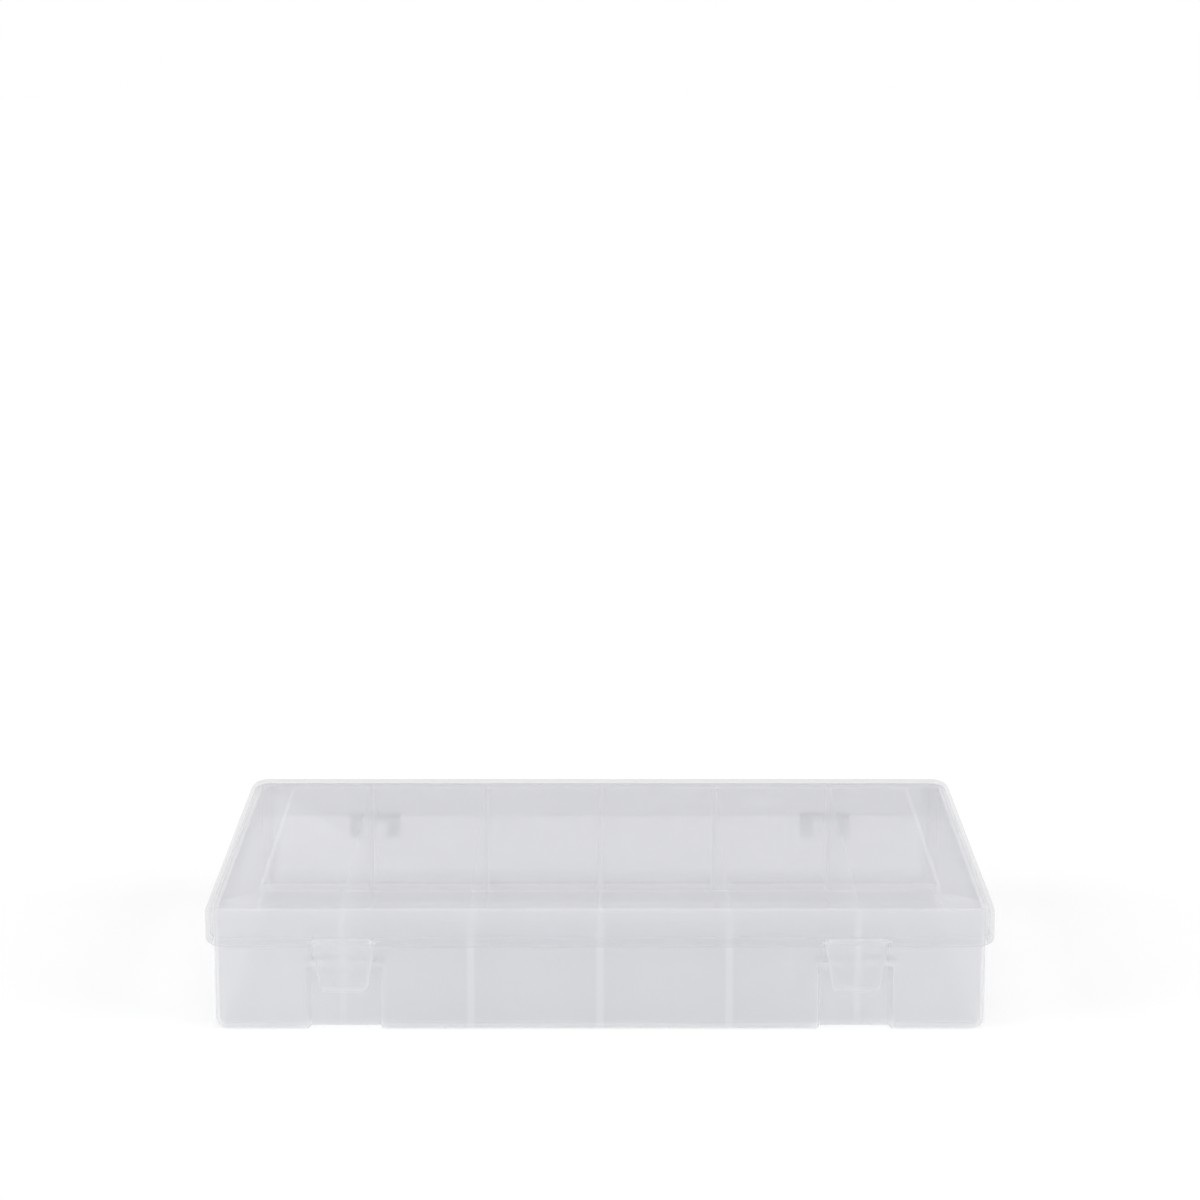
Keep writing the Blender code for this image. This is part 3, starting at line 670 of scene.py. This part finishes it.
def lid_rows():
    """Inset, height and whiteness of each row, from inside the raised line, out and back under it.

    The raised line is half a sine wave; the edges are quarter circles."""
    share = np.linspace(0, 1, 13)
    arch = [math.sin(math.pi * s) for s in share]
    across = [BEAD_INSET + BEAD_WIDTH * (1 - s) for s in share]
    bead = [(a, LID_TOP + BEAD_HEIGHT * b) for a, b in zip(across, arch)]
    edge = arc((LID_EDGE, LID_TOP - LID_EDGE), LID_EDGE, 90, 180, 12)
    lip = arc((LIP_THICKNESS, LIP_Z + LIP_THICKNESS), LIP_THICKNESS, 180, 270, 8)
    inside = LID_EDGE - LID_WALL
    inside_edge = arc((LID_WALL + inside, LID_TOP - LID_WALL - inside), inside, 180, 90, 8)
    rows = [(BEAD_INSET + BEAD_WIDTH + SUPPORT, LID_TOP, 0)]
    rows += [(a, b, BEAD_WHITENESS * c ** BEAD_FULLNESS) for (a, b), c in zip(bead, arch)]
    rows += [(a, LID_TOP, 0) for a in (BEAD_INSET - SUPPORT, REAR_SHADE_BAND, LID_EDGE + SUPPORT)]
    rows += [(a, b, shade) for (a, b), shade in zip(edge, EDGE_SHADE)]
    rows += [(0, LID_TOP - LID_EDGE - SUPPORT, SKIRT_TOP_SHADE)]
    rows += [(0, SHELF_Z + SUPPORT, 0), (0, SHELF_Z, 0)]
    rows += [(a, b, shade) for (a, b), shade in zip(lip, LIP_SHADE)]
    inner_lip = [(LIP_THICKNESS, LIP_Z + 2 * SUPPORT), (LIP_THICKNESS, SHELF_Z)]
    inner_lip += [(LID_WALL, SHELF_Z)]
    rows += [(a, b, LIP_INSIDE) for a, b in inner_lip] + [(LID_WALL, SHELF_Z + SUPPORT, 0)]
    rows += [(a, b, 0) for a, b in inside_edge] + [(LID_EDGE + SUPPORT, LID_TOP - LID_WALL, 0)]
    return np.array(rows)


def lid_milk_and_painted_light(rows, out, x):
    """Whiteness and density over the lid, from its rows and each column's outward direction.

    Besides the raised line's own whiteness from the rows, painted light runs down the corners and
    over the ends and the front margin. Painted shade makes the rear strip and the sides darker and
    denser, with a painted highlight on each front corner. Lines and spots are bell curves of the
    turn or height, and the rest are soft steps."""
    inset, height, white = rows[:, 0, None], rows[:, 1, None], rows[:, 2, None]
    turn = np.abs(out[:, 0])
    corners = 2 * np.abs(out[:, 0] * out[:, 1])
    front, rear = ramp(-out[:, 1], 0.5), ramp(out[:, 1], 0.5)
    ends = ramp(np.abs(x) - PAINTED_END_LIGHT_START, LID_HALF[0] - PAINTED_END_LIGHT_START)
    upright = (height < LID_TOP - LID_EDGE / 3) & (inset < LIP_THICKNESS)
    flat = (height > LID_TOP - STEP) & (inset < BEAD_INSET)
    margin = ramp(BEAD_INSET - SUPPORT / 2 - inset, SUPPORT) * flat
    corner_highlight = np.exp(-(((turn - CORNER_HIGHLIGHT_TURN) / CORNER_HIGHLIGHT_WIDTH) ** 2))
    white = white + CORNER_HIGHLIGHT * corner_highlight * corners * upright
    white = white + SKIRT_END_PAINTED_LIGHT * ends * front * upright
    white = white + (MARGIN_PAINTED_LIGHT + MARGIN_END_PAINTED_LIGHT * ends) * front * margin
    rear_shade = ramp(REAR_SHADE_BAND - inset, REAR_SHADE_BLUR) * (height > LID_TOP - LID_EDGE) * rear
    from_top = np.arange(len(rows))[:, None]
    outer = (inset < LID_EDGE + STEP) & (from_top <= np.argmin(height))
    side = ramp(turn - SIDE_TURN, SIDE_BLUR) * outer
    white = white * (1 - rear_shade) - rear_shade
    white = np.where(side > rear_shade, white * (1 - side) - SIDE_DARKNESS * side, white)
    dense = np.maximum(white, np.maximum(REAR_DENSITY * rear_shade, SIDE_DENSITY * side))
    highlight_spot = np.exp(-(((turn - HIGHLIGHT_SPOT_TURN) / HIGHLIGHT_SPOT_WIDTH) ** 2)) * (out[:, 1] < 0)
    highlight_spot = highlight_spot * np.exp(-(((height - LID_TOP + HIGHLIGHT_SPOT_DROP) / HIGHLIGHT_SPOT_DROP) ** 2)) * outer
    return np.maximum(white, 2 * highlight_spot - 1), dense


def lid_shape():
    """The lid's skin: plan rings from the top's middle outwards, round the lip and back under.

    Inside a notch, rows below the shelf are lifted to it, and their inset is held to the wall's."""
    rows = lid_rows()
    inset, height = rows[:, 0], rows[:, 1]
    ends = LID_HALF - LID_CORNER
    notch = LATCH_X + NOTCH_HALF * np.array([-1, 1])
    edges = np.concatenate([notch - STEP, notch + STEP, notch - SUPPORT, notch + SUPPORT])
    plain = np.linspace(-ends[0], ends[0], PLAIN_COLUMNS)
    front = np.unique(np.concatenate([plain, edges, -edges]))
    side = np.linspace(-1, 1, SIDE_COLUMNS)
    columns = rounded_columns(front / ends[0], side, plain / ends[0], LID_CORNER_COLUMNS)
    corner = np.where(inset < LID_CORNER - BEAD_CORNER, LID_CORNER, inset + BEAD_CORNER)
    along = columns[0][:, 0] * ends[0]
    in_notch = (columns[1][:, 1] == -1) & (np.abs(np.abs(along) - LATCH_X) < NOTCH_HALF)
    low = (height < SHELF_Z + STEP)[:, None] & in_notch
    plan = rounded_rings(columns, LID_HALF, corner, inset)
    y = np.where(low, np.minimum(plan[..., 1], LID_WALL - LID_HALF[1]), plan[..., 1])
    z = np.where(low, SHELF_Z, height[:, None])
    white, dense = lid_milk_and_painted_light(rows, columns[1], plan[..., 0])
    return join_rings(np.stack([plan[..., 0], y, z], axis=-1), white, "filled", dense)


def knuckle_outline():
    """An eye under an arm rooted inside the lip: down the arm, round the eye and up again."""
    inner = LID_HALF[1] - LIP_THICKNESS * 3 / 4
    outer = LID_HALF[1] - LIP_THICKNESS / 4
    top = (LIP_Z + SHELF_Z) / 2
    arm = np.linspace((inner, top), (inner, HINGE_Z), 7)[:-1]
    eye = arc((HINGE_Y, HINGE_Z), EYE_RADIUS, 180, 420, EYE_STEPS)
    back = np.linspace(eye[-1], (outer, top), 6)[1:]
    root = np.linspace((outer, top), (inner, top), 4)[1:-1]
    return np.concatenate([arm, eye, back, root])


knuckles = []
for middle in (-HINGE_X, HINGE_X):
    knuckles.append(eye_plate(knuckle_outline(), middle - KNUCKLE_HALF, middle + KNUCKLE_HALF))
lid = make_piece("lid_moulding", [lid_shape(), *knuckles])
lid_plastic = grained_plastic(
    "lid_polypropylene", thin=(0.85, 0.852, 0.873), thick=(0.965, 0.967, 0.982),
    see_through=0.78, spread=0.75, roughness=0.4, gloss=0.05)
lid.data.materials.append(lid_plastic)
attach(lid, "lid")
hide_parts("lid")


# Latches
# Two swinging tabs of the same plastic. Each hangs from a barrel in a notch of the lip, on stub
# pivots moulded at its ends, with a hook behind and a finger edge along the bottom in front.
BARREL = 0.001325
LATCH_HALF = 0.0121
LATCH_SHOULDER = 0.0009
LATCH_LENGTH = 0.0205
LATCH_HALF_WALL = 0.00075
LATCH_TAPER = 0.0022
LATCH_CORNER = 0.0035
LATCH_FOOT = 0.0012
HOOK_Z = -0.0112
HOOK_HEIGHT = 0.0020
HOOK_TIP = 0.001375
PIVOT_RADIUS = 0.0006
PIVOT_END = 0.0144
PIVOT_WHITENESS = 0.6
LATCH_ROUND = 0.0003
# Levels above the tab's lower end, close together where its corners are round
FOOT_LEVELS = np.array([0, 0.06, 0.2, 0.45, 0.8, 1.2, 1.8, 2.4, 3.0, 3.5]) * 0.001
EDGE_COLUMNS = np.array([0, 0.0006, 0.0016, 0.0040])  # in from the rounding, on the flat faces
# Whiteness over a tab: at its side edges, at its foot and on its barrel
INNER_EDGE_MILK_AND_PAINTED_LIGHT = 0.6  # on the side towards the middle of the box, where painted light adds to the edge's own milkiness
OUTER_EDGE_WHITENESS = 0.1
EDGE_FADE = [0, 0, 0.2]
FOOT_WHITENESS = 0.2
FOOT_GLOW = 0.0022
FOOT_BLUR = 0.0012
BARREL_WHITENESS = 0.05


def latch_shape(middle):
    """A tab as level sections from its foot to the top of its barrel, by height over the pivot.

    Each section is a rectangle with round corners: its half width follows the tab's front view,
    and its front and back follow its side view, with the barrel as a circle about the pivot."""
    corner_z = LATCH_CORNER - LATCH_LENGTH
    foot = FOOT_LEVELS - LATCH_LENGTH
    hook_levels = [HOOK_Z - HOOK_HEIGHT, HOOK_Z - STEP, HOOK_Z]
    plate = np.concatenate([[-0.0162, -0.0150], hook_levels, [-0.0085, -0.0055, -0.0035]])
    shoulder = np.array([-2.0, -1.8, -1.4, -1.1]) * BARREL
    barrel = BARREL * np.sin(np.radians(np.linspace(-75, 88, 16)))
    z = np.concatenate([foot, plate, shoulder, barrel])
    taper = np.clip((-2 * BARREL - z) / (-2 * BARREL - corner_z), 0, 1)
    straight = LATCH_HALF - LATCH_TAPER * taper
    below = np.clip(corner_z - z, 0, LATCH_CORNER)
    rounded = LATCH_CORNER - np.sqrt(LATCH_CORNER**2 - below**2)
    half = straight - rounded - LATCH_SHOULDER * ramp(z + 2 * BARREL, BARREL)
    round_y = np.sqrt(np.clip(BARREL**2 - z**2, 0, None))
    front = np.maximum(LATCH_HALF_WALL, np.where(z > -BARREL, round_y, 0))
    front = np.where(z > 0, round_y, front)
    back = front.copy()
    share = (z + LATCH_LENGTH - LATCH_FOOT) / LATCH_FOOT
    finger = BARREL + (LATCH_HALF_WALL - BARREL) * np.clip(share, 0, 1)
    front = np.where(z < -2 * BARREL, finger, front)
    hook = HOOK_TIP + (LATCH_HALF_WALL - HOOK_TIP) * np.clip((HOOK_Z - z) / HOOK_HEIGHT, 0, 1)
    back = np.where(z < HOOK_Z - STEP / 2, np.maximum(hook, LATCH_HALF_WALL), back)

    round_off = np.minimum(LATCH_ROUND, 0.45 * (front + back))
    quarter = np.radians(np.linspace(0, 90, 5))
    # One quarter of a section, from the middle of the front to the middle of the side
    edge_x = half[:, None] - round_off[:, None] * (1 - np.sin(quarter))
    edge_y = round_off[:, None] * (1 - np.cos(quarter))
    flat_x = half[:, None] - LATCH_ROUND - EDGE_COLUMNS[::-1]
    x_front = np.concatenate([flat_x[:, :-1], edge_x], axis=1)
    y_front = np.concatenate([np.zeros((len(z), len(EDGE_COLUMNS) - 1)), edge_y], axis=1)
    right = np.stack([x_front, -front[:, None] + y_front], axis=-1)
    right_back = np.stack([x_front, back[:, None] - y_front], axis=-1)[:, ::-1]
    half_ring = np.concatenate([right, right_back], axis=1)
    left = half_ring[:, ::-1] * np.array([-1, 1])
    ring = np.concatenate([half_ring, left], axis=1)
    levels = np.broadcast_to(z[:, None, None], (*ring.shape[:2], 1))
    rings = np.concatenate([ring, levels], axis=-1)

    edge = np.concatenate([EDGE_FADE, np.ones(len(quarter))])
    edge = np.concatenate([edge, edge[::-1]])
    inner, outer = INNER_EDGE_MILK_AND_PAINTED_LIGHT * edge, OUTER_EDGE_WHITENESS * edge
    edges = np.concatenate([inner, outer] if middle < 0 else [outer, inner])
    foot_share = ramp(FOOT_GLOW - (z + LATCH_LENGTH), FOOT_BLUR)[:, None]
    white = np.maximum(edges, FOOT_WHITENESS * foot_share)
    white = np.maximum(white, BARREL_WHITENESS * (z > -1.4 * BARREL)[:, None])
    return join_rings(rings + np.array([middle, LATCH_Y, LATCH_Z]), white, "filled")


latch_plastic = grained_plastic(
    "latch_polypropylene", thin=(0.90, 0.903, 0.92), thick=(0.97, 0.972, 0.985),
    see_through=0.72, spread=0.6, roughness=0.4, gloss=0.08)
for name, middle in (("latch_left", -LATCH_X), ("latch_right", LATCH_X)):
    shapes = [latch_shape(middle)]
    for side in (-1, 1):
        root = LATCH_HALF - 3 * LATCH_SHOULDER
        ends = side * np.array([root, PIVOT_END - EDGE_BREAK, PIVOT_END])
        radii = PIVOT_RADIUS - EDGE_BREAK * np.array([0, 0, 1])
        shapes.append(rod_shape(middle + ends, radii, (LATCH_Y, LATCH_Z), PIVOT_WHITENESS))
    latch = make_piece(f"{name}_tab", shapes)
    latch.data.materials.append(latch_plastic)
    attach(latch, name)
    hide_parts(name)


# Floor
# A plain white sheet under the box, which isn't part of it and keeps its shadow.
FLOOR_REACH = 6
FLOOR_Z = -0.0001
PAPER_TONE = 0.92
PAPER_LIFT = 0.2  # what makes the sheet white in the picture and lights nothing


def seen_rays(tree):
    """1 for rays that show a thing to the camera, straight, mirrored or through glass, else 0."""
    rays = tree.nodes.new("ShaderNodeLightPath")
    value = rays.outputs["Is Camera Ray"]
    for other in ("Is Glossy Ray", "Is Transmission Ray"):
        either = tree.nodes.new("ShaderNodeMath")
        either.operation = "MAXIMUM"
        tree.links.new(value, either.inputs[0])
        tree.links.new(rays.outputs[other], either.inputs[1])
        value = either.outputs[0]
    return value


floor_mesh = bpy.data.meshes.new("floor")
signs = ((-1, -1), (1, -1), (1, 1), (-1, 1))
corners = [(x * FLOOR_REACH, y * FLOOR_REACH, FLOOR_Z) for x, y in signs]
floor_mesh.from_pydata(corners, [], [(0, 1, 2, 3)])
floor = bpy.data.objects.new("floor", floor_mesh)
bpy.context.scene.collection.objects.link(floor)
paper = bpy.data.materials.new("white_paper")
paper.use_nodes = True
shader = paper.node_tree.nodes["Principled BSDF"]
shader.inputs["Base Color"].default_value = (PAPER_TONE, PAPER_TONE, PAPER_TONE, 1)
shader.inputs["Roughness"].default_value = 0.9
shader.inputs["Specular IOR Level"].default_value = 0
shader.inputs["Emission Color"].default_value = (1, 1, 1, 1)
lift = paper.node_tree.nodes.new("ShaderNodeMath")
lift.operation = "MULTIPLY"
lift.inputs[1].default_value = PAPER_LIFT
paper.node_tree.links.new(seen_rays(paper.node_tree), lift.inputs[0])
paper.node_tree.links.new(lift.outputs[0], shader.inputs["Emission Strength"])
floor_mesh.materials.append(paper)


# Light
# A white room with soft light from above, from both sides and from the front, and very little from
# behind. Each lamp is given by its azimuth, elevation, strength and spread, with angles in degrees.
ROOM_LIGHT = 0.42  # of the room on the object; where the room is seen it is 1, which is white
SEE_THROUGH_FACES = 48  # light passes up to this many, which the box has one behind another
world = bpy.data.worlds.new("white_room")
bpy.context.scene.world = world
world.use_nodes = True
background = world.node_tree.nodes["Background"]
background.inputs["Color"].default_value = (1, 1, 1, 1)
strength = world.node_tree.nodes.new("ShaderNodeMapRange")
strength.inputs["To Min"].default_value = ROOM_LIGHT
strength.inputs["To Max"].default_value = 1
world.node_tree.links.new(seen_rays(world.node_tree), strength.inputs["Value"])
world.node_tree.links.new(strength.outputs["Result"], background.inputs["Strength"])

lamps = (
    ("overhead_light", 0, 75, 0.62, 60),
    ("left_light", -75, 22, 0.85, 50),
    ("right_light", 75, 22, 0.85, 50),
    ("front_light", 0, 25, 0.49, 50),
    ("rear_light", 180, 35, 0.05, 50),
)
for name, azimuth, elevation, power, spread in lamps:
    lamp = bpy.data.lights.new(name, "SUN")
    lamp.energy = power
    lamp.angle = math.radians(spread)
    light = bpy.data.objects.new(name, lamp)
    light.rotation_euler = (math.radians(90 - elevation), 0, math.radians(azimuth))
    bpy.context.scene.collection.objects.link(light)

bpy.context.scene.cycles.transparent_max_bounces = SEE_THROUGH_FACES
bpy.context.scene.view_settings.view_transform = "Standard"


# Camera
# The photograph's view, fitted to the box's outline: from the front and a little above, through a
# long lens.
camera = bpy.data.objects.new("camera", bpy.data.cameras.new("camera"))
camera.location = (0, -1.46497, 0.45959)
camera.rotation_euler = (math.radians(78.37), 0, 0)
camera.data.sensor_width = 36
camera.data.lens = 105.48
camera.data.clip_start = 0.01
bpy.context.scene.collection.objects.link(camera)
bpy.context.scene.camera = camera
